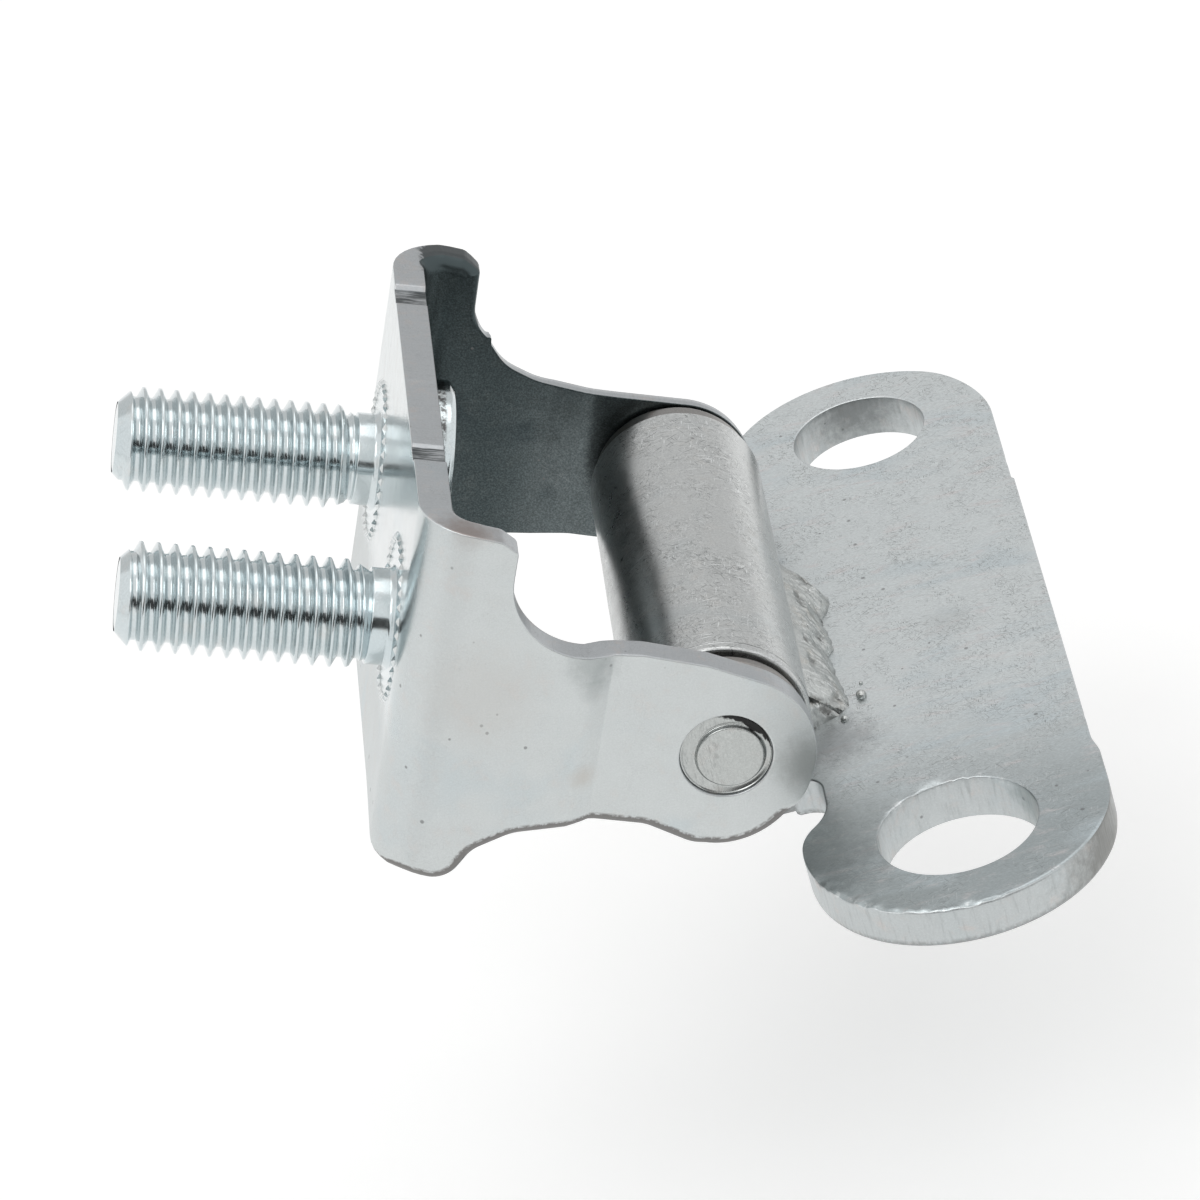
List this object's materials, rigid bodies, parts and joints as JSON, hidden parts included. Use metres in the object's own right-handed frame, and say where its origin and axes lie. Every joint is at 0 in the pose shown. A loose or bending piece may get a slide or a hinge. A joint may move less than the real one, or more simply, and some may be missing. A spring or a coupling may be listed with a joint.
{
  "type": "car door hinge",
  "caption": "Car door hinge: a folded steel bracket with threaded studs turns on a riveted pin in a knuckle barrel welded to a flat leaf with bolt holes.",
  "frame": {"origin": "middle of the line between the leaf's two bolt holes, on the leaf's mounting face", "axes": "+X from the pin towards the leaf's free edge, +Y along the pin towards the smaller bolt hole, +Z out of the mounting face towards the pin"},
  "size_m": [0.0671, 0.0782, 0.0342],
  "materials": {
    "zinc_plate": "bright blue-white zinc plate, satin",
    "bright_zinc": "bright zinc plate, glossy",
    "weld_metal": "rough weld, zinc plated",
    "bush_metal": "dull bearing metal",
    "bare_steel": "riveted steel end, satin"
  },
  "bodies": {
    "leaf_side": {"leaf_plate": "zinc_plate", "knuckle_barrel": "zinc_plate", "weld_bead_top": "weld_metal", "weld_bead_root": "weld_metal", "bush_near": "bush_metal", "bush_far": "bush_metal"},
    "bracket_side": {"bracket": "zinc_plate", "hinge_pin": "bare_steel", "stud_near": "bright_zinc", "stud_far": "bright_zinc"}
  },
  "joints": [
    {"name": "hinge_turn", "type": "hinge", "parent": "leaf_side", "child": "bracket_side", "pos_m": [-0.0149, 0, 0.0095], "axis": [0, 1, 0], "range_deg": [-105, 120]}
  ]
}
